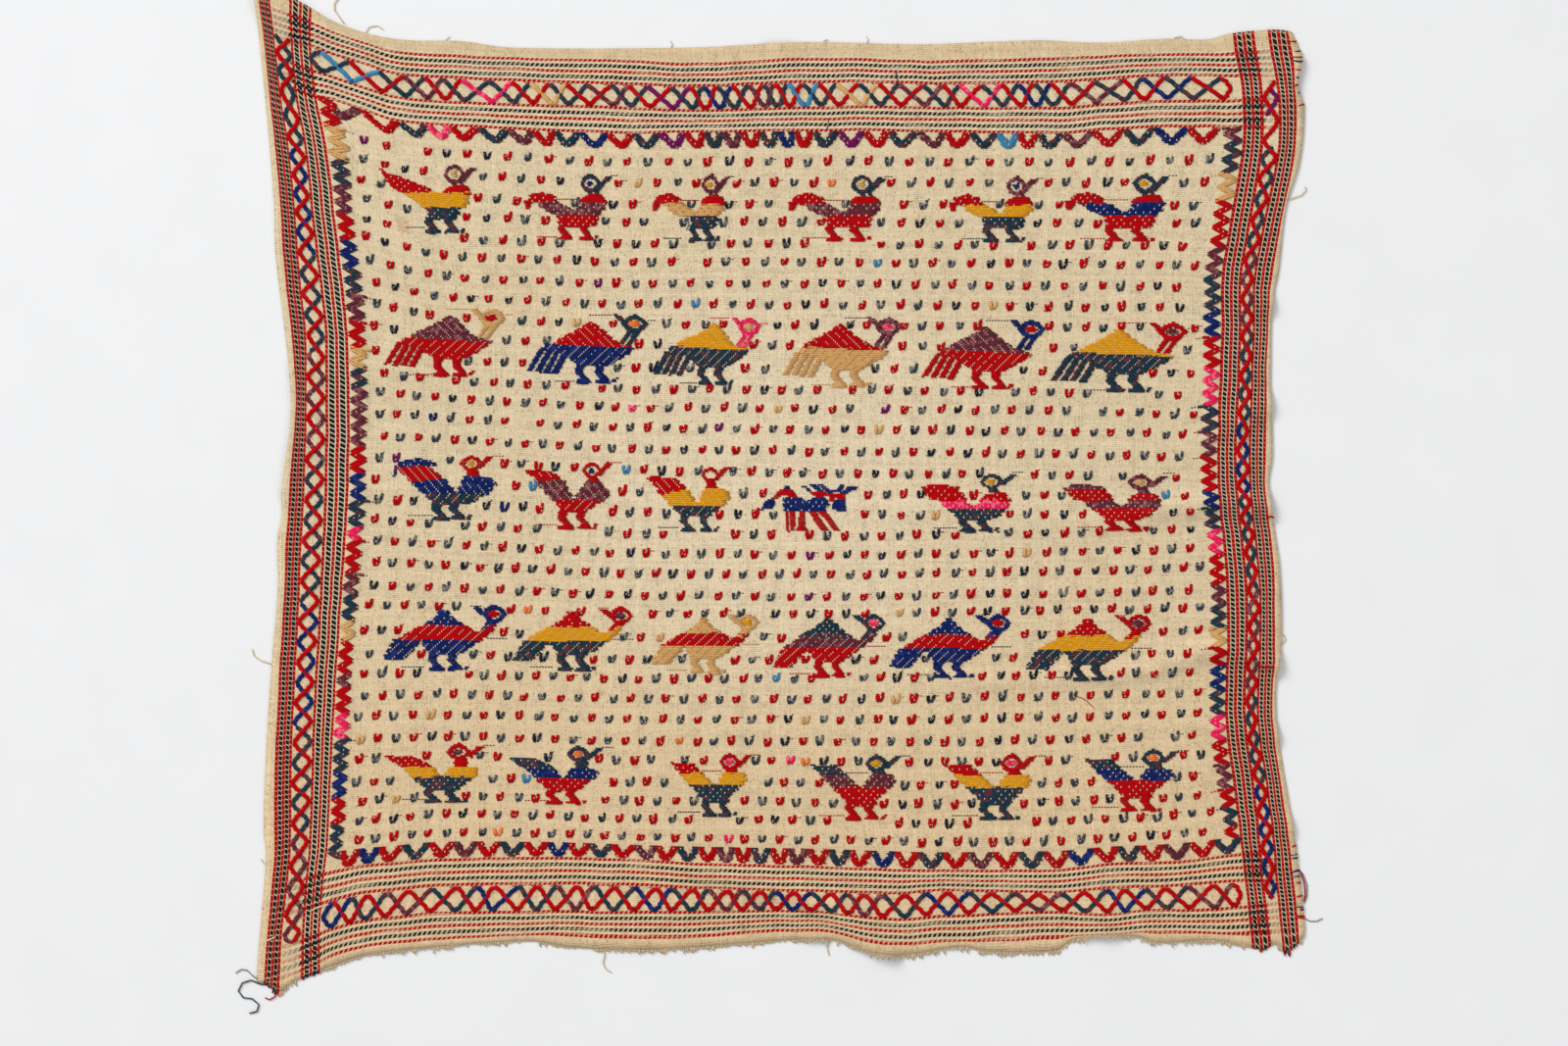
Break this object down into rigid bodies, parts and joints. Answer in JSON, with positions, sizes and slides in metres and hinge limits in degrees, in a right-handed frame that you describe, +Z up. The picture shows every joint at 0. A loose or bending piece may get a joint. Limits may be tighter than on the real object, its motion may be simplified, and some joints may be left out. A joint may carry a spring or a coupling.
{
  "type": "embroidered textile panel",
  "caption": "Hand-woven cotton cloth laid flat, with woven stripe borders, braid and lattice bands, and rows of brocaded birds on a field of small seed marks.",
  "frame": {"origin": "centre of the outline in plan, on the surface that the cloth lies on", "axes": "+X across the cloth along the weft, +Y up its length along the warp, +Z up out of its face"},
  "size_m": [0.4506, 0.4289, 0.0051],
  "materials": {
    "natural_cotton": "matt natural cotton in plain weave, with raised soft brocading yarn"
  },
  "bodies": {
    "root": {"cloth_panel": "natural_cotton"}
  },
  "joints": []
}
